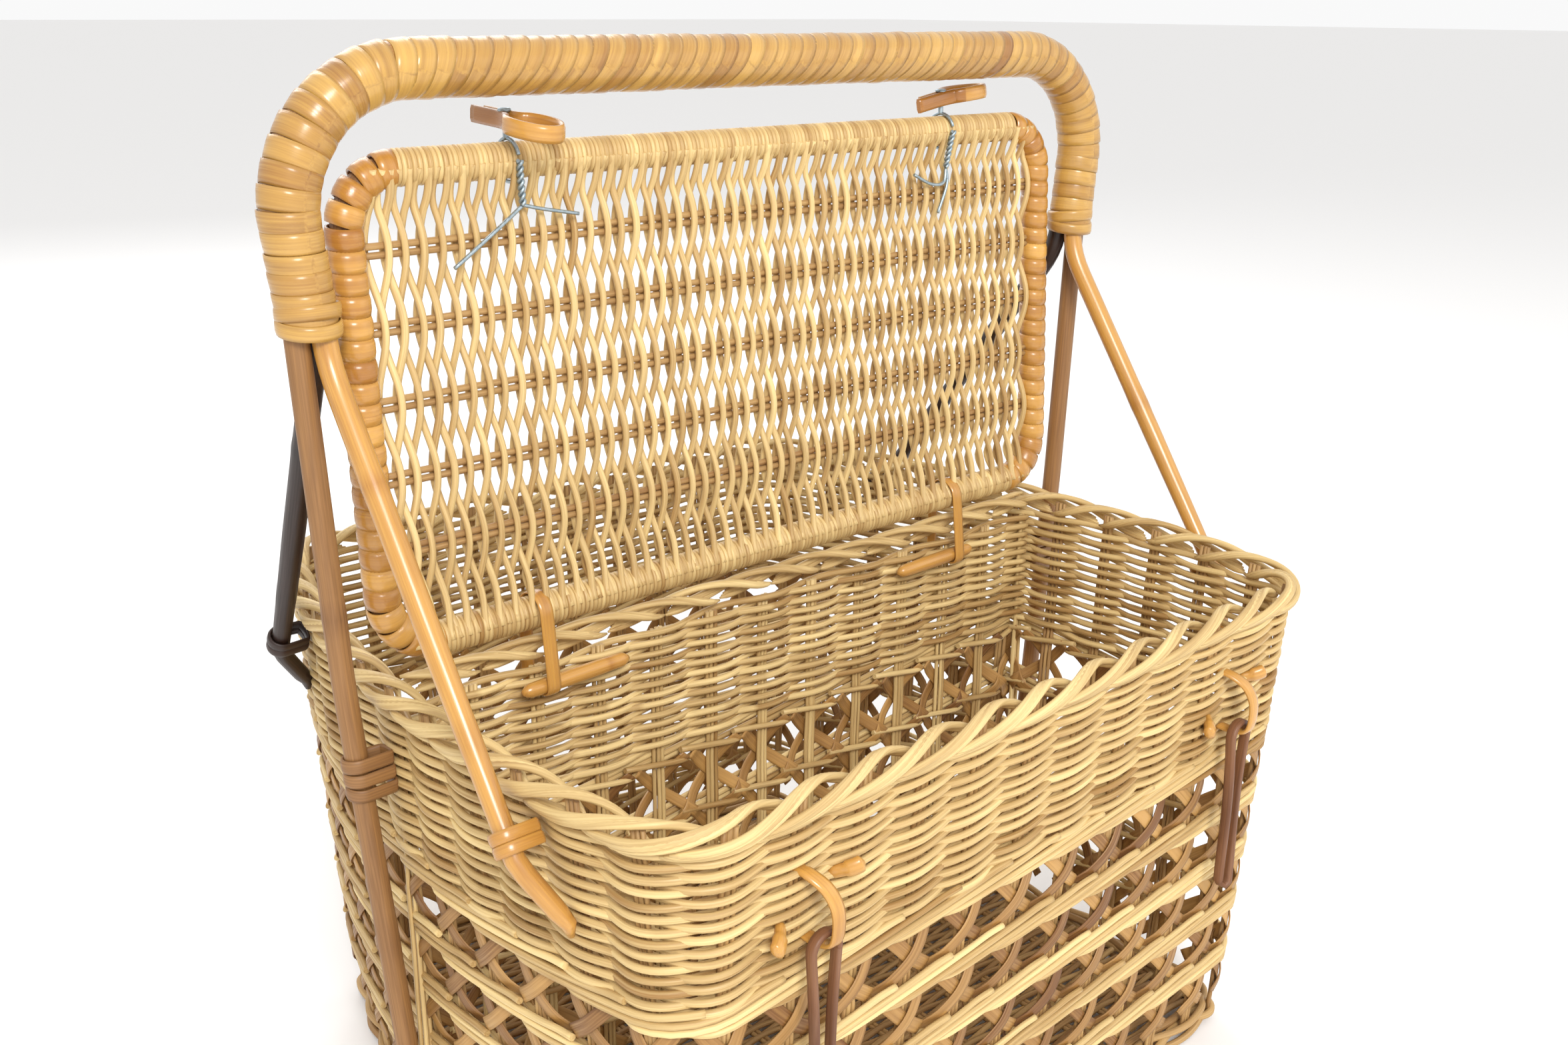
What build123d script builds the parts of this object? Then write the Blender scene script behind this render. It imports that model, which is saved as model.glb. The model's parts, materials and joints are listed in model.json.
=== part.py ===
from build123d import *
from math import acos, radians, sin, sqrt, tan
import os

os.makedirs("parts", exist_ok=True)

# ---- overall basket, millimetres ----
basket_height = 245.0
front_width = 384.0
handle_width = 406.0
rear_width = 316.0
front_depth = 181.0
rear_depth = 186.0
widest_y = -10.0
front_corner_radius = 38.0
rear_corner_radius = 45.0
wall_lean = 3.5

# ---- walls ----
wall_setback = 4.0
wall_thickness = 8.0
border_height = 16.0
border_rounding = 6.0
band_height = 66.0
foot_height = 12.0
base_thickness = 5.0
base_lift = 6.8
seat_gap = 0.2
partition_band_thickness = 8.0
partition_lattice_thickness = 7.0
rail_width = 10.0
rail_rounding = 4.5

# ---- lid ----
lid_width = 400.0
lid_reach = 190.0
lid_corner_radius = 22.0
lid_rod_radius = 5.4
lid_wrap_radius = 7.2
lid_panel_thickness = 6.4
lid_lean = 3.1
lid_gap = 0.8
stake_radius = 1.4
stake_rows = 5
stake_first = 38.5
stake_pitch = 28.8
stake_pair_gap = 0.3
tunnel_gap = 0.15
wrap_gap = 0.1

# ---- hinge loops and pegs ----
hinge_x = 125.0
strap_width = 7.0
strap_thickness = 1.2
strap_gap = 0.5
notch_side_gap = 1.5
notch_depth = 12.5
peg_radius = 3.5
peg_length = 54.0
peg_drop = 26.0
peg_shift = 14.0

# ---- handle ----
handle_rise = 237.0
cane_radius = 4.6
bundle_gap = 0.153
wrap_thickness = 0.9
wrap_clearance = 0.3
handle_corner_radius = 49.0
leg_half_width = 217.0
leg_slope = 0.045
knee_rise = 127.0
wrap_end_length = 9.0
wrap_end_thickness = 1.6
post_foot_half_width = 193.0
post_foot_height = 14.0
post_bend_radius = 600.0
brace_knee_radius = 40.0
front_brace_half_width = 208.5
front_brace_reach = 113.0
rear_brace_half_width = 188.5
rear_brace_reach = 113.0
brace_foot_drop = 29.0
front_tip_inward = 14.0
rear_tip_inward = 19.0
tip_along = 14.0
tip_drop = 26.0
tip_bend_radius = 12.0
lashing_height = 20.0
lashing_drop = 30.0
lashing_thickness = 1.7
loop_length = 8.0

# ---- latches ----
latch_inset = 78.0
toggle_height = 7.0
toggle_strip = 2.4
toggle_loop_length = 27.0
toggle_loop_width = 17.0
toggle_tail_length = 19.0
toggle_hub_radius = 4.6
toggle_gap = 0.4
left_toggle_turn = -84.0
right_toggle_turn = 4.0
pin_radius = 1.2
pin_fit = 0.05
pin_head_radius = 2.4
pin_head_thickness = 1.2
wire_radius = 0.7
twist_radius = 1.3
twist_length = 17.0
wire_tail_length = 38.0
wire_tail_spread = 62.0
staple_x = 128.0
staple_top_drop = 34.0
staple_bottom_drop = 62.0
staple_stand_off = 12.0
staple_thickness = 1.6
staple_width = 5.0
staple_root = 3.0
staple_bow_share = 0.32
staple_foot_bend = 2.6
staple_peg_radius = 3.2
staple_peg_out = 5.0
staple_peg_spread = 18.0
staple_peg_step = 6.0
staple_peg_rise = 2.0
thong_length = 85.0
thong_top_radius = 8.0
thong_end_radius = 4.6
thong_strip = 3.2
thong_depth = 4.4
thong_swing_gap = 0.35
thong_from_wall = 7.0
thong_roll_length = 5.0

# ---- sizes that follow from the ones above ----
border_bottom = basket_height - border_height
band_bottom = border_bottom - band_height
hinge_height = basket_height + lid_gap + lid_wrap_radius
bundle_radius = (2 * cane_radius + bundle_gap) / sqrt(3)
wrap_outer_radius = bundle_radius + cane_radius + wrap_clearance + wrap_thickness
bundle_height = basket_height + handle_rise - wrap_outer_radius
rod_reach = lid_reach - lid_wrap_radius
rod_half_width = lid_width / 2 - lid_wrap_radius
latch_x = lid_width / 2 - latch_inset
knee_height = basket_height + knee_rise
bundle_drop = bundle_radius / 2
bundle_side = bundle_radius * sqrt(3) / 2
LEFT = -1
RIGHT = 1


def lean_inset(z):
    """How far the leaning wall has moved inward at height z."""
    return (basket_height - z) * tan(radians(wall_lean))


def plan(inset, z):
    """Plan outline of the basket, moved inward by inset, as a face at height z."""
    front = -front_depth + inset
    rear = rear_depth - inset
    front_x = front_width / 2 - inset
    rear_x = rear_width / 2 - inset
    side_x = handle_width / 2 - inset
    front_left = Vector(-front_x, front)
    front_right = Vector(front_x, front)
    rear_left = Vector(-rear_x, rear)
    rear_right = Vector(rear_x, rear)
    edges = [
        Edge.make_line(front_left, front_right),
        Edge.make_three_point_arc(front_right, Vector(side_x, widest_y), rear_right),
        Edge.make_line(rear_right, rear_left),
        Edge.make_three_point_arc(rear_left, Vector(-side_x, widest_y), front_left),
    ]
    outline = Face(Wire(edges))
    corners = outline.vertices().sort_by(Axis.Y)
    outline = outline.fillet_2d(front_corner_radius - inset, corners[:2])
    corners = outline.vertices().sort_by(Axis.Y)
    outline = outline.fillet_2d(rear_corner_radius - inset, corners[-2:])
    return Pos(0, 0, z) * outline


def plan_solid(inset, bottom, top):
    """Leaning solid between two heights whose outline is moved inward by inset."""
    low = plan(inset + lean_inset(bottom), bottom)
    high = plan(inset + lean_inset(top), top)
    return Solid.make_loft([low.outer_wire(), high.outer_wire()], True)


def wall_ring(inset, thickness, bottom, top):
    """Leaning ring of wall between two heights."""
    return plan_solid(inset, bottom, top) - plan_solid(inset + thickness, bottom, top)


def side_half_width(y, inset, z):
    """Half width of the plan outline at a depth y and height z."""
    slab = Pos(0, y, z) * Box(2 * handle_width, 0.01, 0.01)
    cut = slab & plan_solid(inset, z - 1, z + 1)
    return cut.bounding_box().max.X


def rounded_path(points, radii):
    """Wire through the points with an arc of the given radius at each inner point."""
    corners = [Vector(*point) for point in points]
    edges = []
    start = corners[0]
    for before, corner, after, radius in zip(corners, corners[1:], corners[2:], radii):
        back = (before - corner).normalized()
        ahead = (after - corner).normalized()
        half = acos(max(-1.0, min(1.0, back.dot(ahead)))) / 2
        reach = radius / tan(half)
        first = corner + back * reach
        last = corner + ahead * reach
        middle = corner + (back + ahead).normalized() * (radius / sin(half) - radius)
        edges.append(Edge.make_line(start, first))
        edges.append(Edge.make_three_point_arc(first, middle, last))
        start = last
    edges.append(Edge.make_line(start, corners[-1]))
    return Wire(edges)


def tube(path, outer, inner=0.0):
    """Round rod or sleeve along a path."""
    section = Circle(outer) - Circle(inner) if inner else Circle(outer)
    return sweep(Plane(path @ 0, z_dir=path % 0) * section, path=path)


def rod(start, end, outer, inner=0.0):
    """Straight rod or sleeve between two points."""
    return tube(Wire([Edge.make_line(Vector(*start), Vector(*end))]), outer, inner)


def leg_x(z):
    """Half distance between the handle legs at height z, at the bundle centre."""
    return leg_half_width - (bundle_height - z) * leg_slope


def handle_points(outward, y):
    """Upper handle path offset outward from the bundle centre, left leg to right leg."""
    top = bundle_height + outward
    low = leg_x(knee_height) + outward
    high = leg_x(top) + outward
    return [
        (-low, y, knee_height),
        (-high, y, top),
        (high, y, top),
        (low, y, knee_height),
    ]


def base_panel():
    inset = wall_setback + foot_height + seat_gap
    return plan_solid(inset, base_lift, base_lift + base_thickness)


def foot_wale():
    return wall_ring(wall_setback, foot_height, 0, foot_height)


def lattice_wall():
    return wall_ring(wall_setback, wall_thickness, foot_height, band_bottom)


def rim_band():
    return wall_ring(wall_setback, wall_thickness, band_bottom, border_bottom)


def rim_border():
    middle = border_bottom + border_height / 2
    path = plan(border_height / 2, middle).outer_wire()
    section = RectangleRounded(border_height, border_height, border_rounding)
    return sweep(Plane(path @ 0, z_dir=path % 0) * section, path=path)


def partition_slab(thickness, bottom, top, inset):
    slab = Pos(0, 0, (bottom + top) / 2) * Box(2 * handle_width, thickness, top - bottom)
    return slab & plan_solid(inset, bottom, top)


def partition_inset():
    return wall_setback + wall_thickness + seat_gap


def partition_lattice():
    floor = base_lift + base_thickness + seat_gap
    return partition_slab(partition_lattice_thickness, floor, band_bottom, partition_inset())


def partition_band():
    return partition_slab(partition_band_thickness, band_bottom, border_bottom, partition_inset())


def partition_rail():
    section = RectangleRounded(rail_width, border_height, rail_rounding)
    middle = border_bottom + border_height / 2
    bar = Pos(0, 0, middle) * extrude(Plane.YZ * section, handle_width / 2, both=True)
    return bar & plan_solid(border_height + seat_gap, border_bottom, basket_height)


def handle_cane_centre():
    outward = bundle_radius
    upper = handle_points(outward, 0)
    rim_x = leg_x(basket_height) + outward
    points = [
        (-post_foot_half_width, 0, post_foot_height),
        (-rim_x, 0, basket_height),
        upper[1],
        upper[2],
        (rim_x, 0, basket_height),
        (post_foot_half_width, 0, post_foot_height),
    ]
    corner = handle_corner_radius + outward
    radii = [post_bend_radius, corner, corner, post_bend_radius]
    return tube(rounded_path(points, radii), cane_radius)


def braced_cane(side_y, half_width, reach, tip_inward):
    """Cane running in the handle with both ends led out as braces to the basket wall."""
    upper = handle_points(-bundle_drop, side_y * bundle_side)
    foot_z = basket_height - brace_foot_drop
    foot_y = side_y * reach
    tip_x = half_width - tip_inward
    tip_y = foot_y + side_y * tip_along
    tip_z = foot_z - tip_drop
    points = [
        (-tip_x, tip_y, tip_z),
        (-half_width, foot_y, foot_z),
        upper[0],
        upper[1],
        upper[2],
        upper[3],
        (half_width, foot_y, foot_z),
        (tip_x, tip_y, tip_z),
    ]
    corner = handle_corner_radius - bundle_drop
    bends = [tip_bend_radius, brace_knee_radius, corner]
    return tube(rounded_path(points, bends + bends[::-1]), cane_radius)


def handle_cane_front():
    return braced_cane(-1, front_brace_half_width, front_brace_reach, front_tip_inward)


def handle_cane_rear():
    return braced_cane(1, rear_brace_half_width, rear_brace_reach, rear_tip_inward)


def handle_wrap():
    corners = [handle_corner_radius, handle_corner_radius]
    points = handle_points(0, 0)
    lift = wrap_end_length + brace_knee_radius / 4
    points[0] = (-leg_x(knee_height + lift), 0, knee_height + lift)
    points[3] = (leg_x(knee_height + lift), 0, knee_height + lift)
    inner = bundle_radius + cane_radius + wrap_clearance
    return tube(rounded_path(points, corners), wrap_outer_radius, inner)


def handle_wrap_end(side):
    """Binding that closes the wrapping where the canes part."""
    low = knee_height + brace_knee_radius / 4
    high = low + wrap_end_length - seat_gap
    inner = bundle_radius + cane_radius + wrap_clearance
    start = (side * leg_x(low), 0, low)
    end = (side * leg_x(high), 0, high)
    return rod(start, end, inner + wrap_end_thickness, inner)


def post_x(z):
    """Half distance between the centre cane's posts below the rim."""
    rim_x = leg_x(basket_height) + bundle_radius
    share = (z - post_foot_height) / (basket_height - post_foot_height)
    return post_foot_half_width + (rim_x - post_foot_half_width) * share


def wall_tie(centre, along, length, half_width):
    """Lashing round a cane whose ends run into the wall."""
    grip = cane_radius + seat_gap
    outer = grip + lashing_thickness
    middle = Vector(*centre)
    run = Vector(*along).normalized() * (length / 2)
    sleeve = rod(tuple(middle - run), tuple(middle + run), outer)
    side = 1 if centre[0] > 0 else -1
    depth = abs(centre[0]) - half_width + 1
    strap = Pos(centre[0] - side * depth / 2, centre[1], centre[2])
    body = sleeve + strap * Box(depth, 2 * lashing_thickness, length * 0.8)
    reach = run * 4
    return body - rod(tuple(middle - reach), tuple(middle + reach), grip)


def post_lashing(side):
    z = basket_height - lashing_drop - lashing_height / 2
    slope = post_x(z + 1) - post_x(z)
    half = side_half_width(0, wall_setback, z)
    return wall_tie((side * post_x(z), 0, z), (side * slope, 0, 1), lashing_height, half)


def brace_loop(side, side_y, half_width, reach):
    """Cane loop that ties a brace to the wall just above its bent tip."""
    knee = Vector(side * (leg_x(knee_height) - bundle_drop), side_y * bundle_side, knee_height)
    foot = Vector(side * half_width, side_y * reach, basket_height - brace_foot_drop)
    along = (knee - foot).normalized()
    centre = foot + along * loop_length
    half = side_half_width(centre.Y, wall_setback, centre.Z)
    return wall_tie(tuple(centre), tuple(along), loop_length, half)


def ring_plate(circles, wall, thickness):
    """Flat closed loop round the given circles, wall thick, extruded both ways."""
    def hull(growth):
        edges = []
        for across, up, radius in circles:
            edges += (Pos(across, up) * Circle(radius + growth)).edges()
        return make_hull(edges)
    return extrude(hull(wall) - hull(0), thickness / 2, both=True)


def hinge_loop(side):
    front = -partition_band_thickness / 2 - peg_radius - seat_gap
    circles = [
        (0, hinge_height, lid_wrap_radius + strap_gap),
        (front, basket_height - peg_drop + peg_radius, peg_radius + seat_gap),
        (-front / 2, basket_height - peg_drop + peg_radius, peg_radius),
    ]
    band = ring_plate(circles, strap_thickness, strap_width)
    upright = Plane(origin=(side * hinge_x, 0, 0), x_dir=(0, 1, 0), z_dir=(1, 0, 0))
    return upright * band


def hinge_peg(side):
    y = -partition_band_thickness / 2 - peg_radius - seat_gap
    z = basket_height - peg_drop + peg_radius
    middle = side * hinge_x - side * peg_shift
    return rod((middle - peg_length / 2, y, z), (middle + peg_length / 2, y, z), peg_radius)


def to_lid_pose(shape):
    """Puts a lid shape, drawn upright over the hinge line, in its leaning open pose."""
    return Pos(0, 0, hinge_height) * Rot(-lid_lean, 0, 0) * shape


def lid_corner_points():
    return [
        (-rod_half_width, 0),
        (-rod_half_width, rod_reach),
        (rod_half_width, rod_reach),
        (rod_half_width, 0),
    ]


def lid_loop(radius, inner=0.0):
    """Closed rod or sleeve round the lid."""
    points = [(x, 0, z) for x, z in lid_corner_points()]
    path = rounded_path([(0, 0, 0)] + points + [(0, 0, 0)], [lid_corner_radius] * 4)
    return tube(Wire(path.edges()), radius, inner)


def lid_frame():
    return to_lid_pose(lid_loop(lid_rod_radius))


def lid_sleeve():
    return lid_loop(lid_wrap_radius, lid_rod_radius + wrap_gap)


def lid_side_wrap(side):
    straight = rod_half_width - lid_corner_radius
    block = Pos(side * (straight + lid_width / 2), 0, rod_reach / 2)
    return to_lid_pose(lid_sleeve() & block * Box(lid_width, lid_width, 2 * lid_width))


def lid_edge_wrap(reach):
    straight = rod_half_width - lid_corner_radius - seat_gap
    sleeve = rod((-straight, 0, reach), (straight, 0, reach), lid_wrap_radius, lid_rod_radius + wrap_gap)
    return to_lid_pose(sleeve)


def stake_heights():
    heights = []
    for row in range(stake_rows):
        middle = stake_first + row * stake_pitch
        heights.append(middle - stake_radius - stake_pair_gap / 2)
        heights.append(middle + stake_radius + stake_pair_gap / 2)
    return heights


def stake_half_length():
    return rod_half_width - lid_wrap_radius - seat_gap


def lid_panel():
    face = Pos(0, 0, rod_reach / 2) * Box(2 * rod_half_width, lid_panel_thickness, rod_reach)
    panel = face - lid_loop(lid_wrap_radius + seat_gap)
    clear = 2 * (stake_radius + tunnel_gap)
    for row in range(stake_rows):
        height = stake_first + row * stake_pitch
        rise = 2 * clear + stake_pair_gap
        panel -= Pos(0, 0, height) * Box(2 * lid_width, clear, rise)
    for side in (LEFT, RIGHT):
        width = strap_width + 2 * notch_side_gap
        ends = ((side * hinge_x - width / 2, 0, 0), (side * hinge_x + width / 2, 0, 0))
        panel -= rod(*ends, notch_depth)
    inside = Pos(0, 0, rod_reach / 2) * Box(2 * rod_half_width, lid_width, rod_reach)
    pieces = (panel & inside).solids().sort_by(SortBy.VOLUME)
    return to_lid_pose(pieces[-1])


def lid_stakes():
    half = stake_half_length()
    rods = [rod((-half, 0, z), (half, 0, z), stake_radius) for z in stake_heights()]
    return Compound(children=[to_lid_pose(stake) for stake in rods])


def toggle_base():
    """Height of a toggle's underside above the hinge line, in the lid's own plane."""
    return rod_reach + lid_wrap_radius + 2 * wire_radius + seat_gap + toggle_gap


def latch_toggle(side, turn):
    loop_centre = toggle_hub_radius + toggle_loop_length / 2 - toggle_strip
    outer = Ellipse(toggle_loop_length / 2, toggle_loop_width / 2)
    inner = Ellipse(toggle_loop_length / 2 - toggle_strip, toggle_loop_width / 2 - toggle_strip)
    loop = Pos(loop_centre, 0) * (outer - inner)
    tail_centre = -toggle_tail_length / 2
    tail = Pos(tail_centre, 0) * Rectangle(toggle_tail_length, 2 * toggle_strip)
    outline = loop + tail + Circle(toggle_hub_radius) - Circle(pin_radius + pin_fit)
    toggle = extrude(outline, toggle_height)
    place = Pos(side * latch_x, 0, toggle_base()) * Rot(0, 0, turn)
    return to_lid_pose(place * toggle)


def latch_wire(side):
    """Wire bound round the lid edge, twisted together inside, its end pinning a toggle."""
    x = side * latch_x
    turn = lid_wrap_radius + wire_radius + seat_gap
    hoop = Rot(0, 90, 0) * Torus(turn, wire_radius)
    body = Pos(x, 0, rod_reach) * hoop
    low = rod_reach + turn
    high = toggle_base() + toggle_height + toggle_gap
    body += rod((x, 0, low), (x, 0, high), pin_radius)
    body += rod((x, 0, high), (x, 0, high + pin_head_thickness), pin_head_radius)
    face = -lid_panel_thickness / 2 - twist_radius - seat_gap
    start = (x, -lid_wrap_radius - twist_radius - seat_gap, rod_reach)
    knot = (x, face - seat_gap, rod_reach - twist_length)
    body += rod(start, knot, twist_radius)
    for way in (LEFT, RIGHT):
        spread = radians(wire_tail_spread)
        across = x + way * wire_tail_length * sin(spread)
        down = knot[2] - wire_tail_length * (1 - sin(spread)) * 2
        body += rod(knot, (across, face - seat_gap, down), wire_radius)
    return to_lid_pose(body)


def front_wall_y(z):
    """Depth of the front wall's outer face at height z."""
    return -front_depth + wall_setback + lean_inset(z)


def front_staple(side):
    """Bent cane strip standing off the front wall."""
    top = basket_height - staple_top_drop
    bottom = basket_height - staple_bottom_drop
    wall = front_wall_y(bottom)
    out = wall - staple_stand_off
    root_low = wall + staple_root
    root_high = front_wall_y(top) + staple_root
    height = top - bottom
    bow = height * staple_bow_share
    points = [(0, root_high, top), (0, out, top - bow / 2), (0, out, bottom), (0, root_low, bottom)]
    path = rounded_path(points, [bow, staple_foot_bend])
    section = Rectangle(staple_width, staple_thickness)
    frame = Plane(origin=path @ 0, x_dir=(1, 0, 0), z_dir=path % 0)
    return Pos(side * staple_x, 0, 0) * sweep(frame * section, path=path)


def front_staple_pegs(side):
    """Rounded ends of the cane peg that locks a staple behind the weave."""
    ends = []
    upper = staple_top_drop + staple_peg_step
    lower = staple_bottom_drop - staple_peg_step
    for way, drop in ((RIGHT, upper), (LEFT, lower)):
        x = side * staple_x + way * staple_peg_spread
        z = basket_height - drop
        wall = front_wall_y(z)
        root = (x - way * staple_peg_rise, wall + staple_root, z - way * staple_peg_rise / 2)
        tip = (x + way * 2 * staple_peg_rise, wall - staple_peg_out, z + way * staple_peg_rise)
        ends.append(rod(root, tip, staple_peg_radius))
    return Compound(children=ends)


def thong_roll_radius():
    return sqrt(thong_strip ** 2 + thong_depth ** 2) / 2


def thong_axis():
    """Depth and height of the line a thong swings about, the middle of its top bend."""
    z = basket_height - staple_bottom_drop
    rise = staple_thickness / 2 + thong_swing_gap + thong_roll_radius()
    return front_wall_y(z) - thong_from_wall, z + rise


def thong(side):
    """Leather loop hanging through a staple, rolled round where it rests on it."""
    y, z = thong_axis()
    top = thong_strip / 2 - thong_top_radius
    end = thong_strip / 2 - thong_length + thong_end_radius
    circles = [
        (0, top, thong_top_radius - thong_strip),
        (0, end, thong_end_radius - thong_strip),
    ]
    loop = ring_plate(circles, thong_strip, thong_depth)
    half = thong_roll_length / 2
    loop += rod((-half, 0, 0), (half, 0, 0), thong_roll_radius())
    upright = Plane(origin=(side * staple_x, y, z), x_dir=(1, 0, 0), z_dir=(0, -1, 0))
    return upright * loop


nodes = {
    "base_panel": base_panel(),
    "foot_wale": foot_wale(),
    "lattice_wall": lattice_wall(),
    "rim_band": rim_band(),
    "rim_border": rim_border(),
    "partition_lattice": partition_lattice(),
    "partition_band": partition_band(),
    "partition_rail": partition_rail(),
    "handle_cane_centre": handle_cane_centre(),
    "handle_cane_front": handle_cane_front(),
    "handle_cane_rear": handle_cane_rear(),
    "handle_wrap": handle_wrap(),
    "handle_wrap_end_left": handle_wrap_end(LEFT),
    "handle_wrap_end_right": handle_wrap_end(RIGHT),
    "post_lashing_left": post_lashing(LEFT),
    "post_lashing_right": post_lashing(RIGHT),
    "brace_loop_front_left": brace_loop(LEFT, -1, front_brace_half_width, front_brace_reach),
    "brace_loop_front_right": brace_loop(RIGHT, -1, front_brace_half_width, front_brace_reach),
    "brace_loop_rear_left": brace_loop(LEFT, 1, rear_brace_half_width, rear_brace_reach),
    "brace_loop_rear_right": brace_loop(RIGHT, 1, rear_brace_half_width, rear_brace_reach),
    "hinge_loop_left": hinge_loop(LEFT),
    "hinge_loop_right": hinge_loop(RIGHT),
    "hinge_peg_left": hinge_peg(LEFT),
    "hinge_peg_right": hinge_peg(RIGHT),
    "lid_frame": lid_frame(),
    "lid_side_wrap_left": lid_side_wrap(LEFT),
    "lid_side_wrap_right": lid_side_wrap(RIGHT),
    "lid_front_edge_wrap": lid_edge_wrap(rod_reach),
    "lid_rear_edge_wrap": lid_edge_wrap(0),
    "lid_panel": lid_panel(),
    "lid_stakes": lid_stakes(),
    "latch_wire_left": latch_wire(LEFT),
    "latch_wire_right": latch_wire(RIGHT),
    "latch_toggle_left": latch_toggle(LEFT, left_toggle_turn),
    "latch_toggle_right": latch_toggle(RIGHT, right_toggle_turn),
    "front_staple_left": front_staple(LEFT),
    "front_staple_right": front_staple(RIGHT),
    "front_staple_pegs_left": front_staple_pegs(LEFT),
    "front_staple_pegs_right": front_staple_pegs(RIGHT),
    "thong_left": thong(LEFT),
    "thong_right": thong(RIGHT),
}

for name, shape in nodes.items():
    export_step(shape, f"parts/{name}.step")
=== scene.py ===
import json
import math
import bpy
import numpy as np
from mathutils import Matrix, Vector
from mathutils.bvhtree import BVHTree


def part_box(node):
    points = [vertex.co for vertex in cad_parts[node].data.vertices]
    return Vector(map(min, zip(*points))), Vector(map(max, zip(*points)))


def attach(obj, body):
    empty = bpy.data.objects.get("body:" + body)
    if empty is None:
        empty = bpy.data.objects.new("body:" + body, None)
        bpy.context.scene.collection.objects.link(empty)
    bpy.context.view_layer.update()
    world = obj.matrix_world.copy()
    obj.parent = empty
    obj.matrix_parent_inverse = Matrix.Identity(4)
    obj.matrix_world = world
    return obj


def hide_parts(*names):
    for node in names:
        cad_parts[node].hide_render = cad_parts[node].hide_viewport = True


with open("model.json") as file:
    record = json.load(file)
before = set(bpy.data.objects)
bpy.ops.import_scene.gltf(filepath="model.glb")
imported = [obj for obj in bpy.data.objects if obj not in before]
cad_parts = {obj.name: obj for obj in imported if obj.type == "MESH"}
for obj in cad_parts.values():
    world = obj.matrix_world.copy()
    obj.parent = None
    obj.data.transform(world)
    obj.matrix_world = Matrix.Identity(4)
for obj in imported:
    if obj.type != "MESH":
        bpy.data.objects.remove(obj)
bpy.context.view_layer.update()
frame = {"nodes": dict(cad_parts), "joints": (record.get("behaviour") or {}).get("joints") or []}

MM = 0.001
rng = np.random.default_rng(11)

# ---- cane and reed sizes ----
stake_count = 44
stake_rod_radius = 1.05 * MM
stake_rod_step = 2.15 * MM
reed_radius = 1.55 * MM
row_pitch = 2.5 * MM
row_swing = 2.5 * MM
row_rise = 0.85 * MM
wall_middle = 4.0 * MM
wale_half_height = 5.0 * MM
wale_span = 3.05
wale_swing = 2.5 * MM
wale_pitch = 30.0 * MM
diagonal_half_width = 3.1 * MM
diagonal_half_thickness = 0.42 * MM
plait_reed_radius = 1.5 * MM
plait_reeds = 4
rim_plait_ring = 5.6 * MM
partition_plait_ring = 4.2 * MM
cane_radius = 4.6 * MM
samples_per_stake = 10

# ---- foot and base ----
foot_reed_radius = 1.9 * MM
foot_row_pitch = 3.8 * MM
foot_bottom = 0.6 * MM
base_row_pitch = 3.4 * MM
base_stake_pitch = 24 * MM
base_reed_radius = 1.55 * MM
base_stake_radius = 1.3 * MM
base_swing = 1.5 * MM
base_inset = 13 * MM

# ---- lid weave ----
lid_weaver_pitch = 3.75 * MM
lid_weaver_radius = 1.45 * MM
lid_sway = 1.5 * MM
lid_swing = 2.7 * MM
lid_stake_radius = 1.4 * MM
edge_turn_pitch = 2.13 * MM
side_turn_pitch = 7.9 * MM
side_turn_half_thickness = 0.95 * MM
edge_turn_radius = 1.12 * MM
lid_stake_step = 1.55 * MM
lid_rod_radius = 5.2 * MM

# ---- handle and its ties ----
handle_corner_radius = 49.0 * MM
handle_turn_pitch = 7.2 * MM
handle_turn_slant = 0.62
leg_turn_slant = 0.06
slant_start = 95 * MM
slant_fade = 60 * MM
handle_strip_half_thickness = 0.42 * MM
handle_strip_inset = 0.75 * MM
handle_core_inset = 1.1 * MM
binding_half_width = 2.9 * MM
binding_half_thickness = 0.7 * MM
tie_half_thickness = 0.8 * MM
lashing_half_width = 2.9 * MM
lashing_turn_pitch = 6.0 * MM
brace_tie_half_width = 2.4 * MM
brace_tie_pitch = 4.6 * MM

# ---- latches ----
toggle_lift = 2.0 * MM
toggle_half_height = 3.5 * MM
toggle_half_thickness = 1.2 * MM
wire_radius = 0.78 * MM
twist_offset = 0.8 * MM
twist_length = 17 * MM
twist_turns = 3.4

# ---- hinges, staples and thongs ----
hinge_strip_half_width = 3.3 * MM
hinge_strip_half_thickness = 0.6 * MM
staple_half_width = 3.0 * MM
staple_half_thickness = 1.0 * MM
staple_peg_radius = 3.6 * MM
thong_half_width = 2.35 * MM
thong_half_thickness = 1.25 * MM


def box_of(node):
    low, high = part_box(node)
    return np.array(low), np.array(high)


def unit(vectors):
    vectors = np.asarray(vectors, float)
    length = np.linalg.norm(vectors, axis=-1, keepdims=True)
    return vectors / np.maximum(length, 1e-12)


def smooth_route(points, count):
    """Even points on a smooth curve through the given ones, any number of columns wide."""
    points = np.asarray(points, float)
    padded = np.vstack([2 * points[0] - points[1], points, 2 * points[-1] - points[-2]])
    steps = len(points) - 1
    t = np.linspace(0, steps, count)
    index = np.minimum(t.astype(int), steps - 1)
    f = (t - index)[:, None]
    p0, p1, p2, p3 = (padded[index + k] for k in range(4))
    return 0.5 * (
        2 * p1
        + (p2 - p0) * f
        + (2 * p0 - 5 * p1 + 4 * p2 - p3) * f ** 2
        + (3 * p1 - p0 - 3 * p2 + p3) * f ** 3
    )


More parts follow.
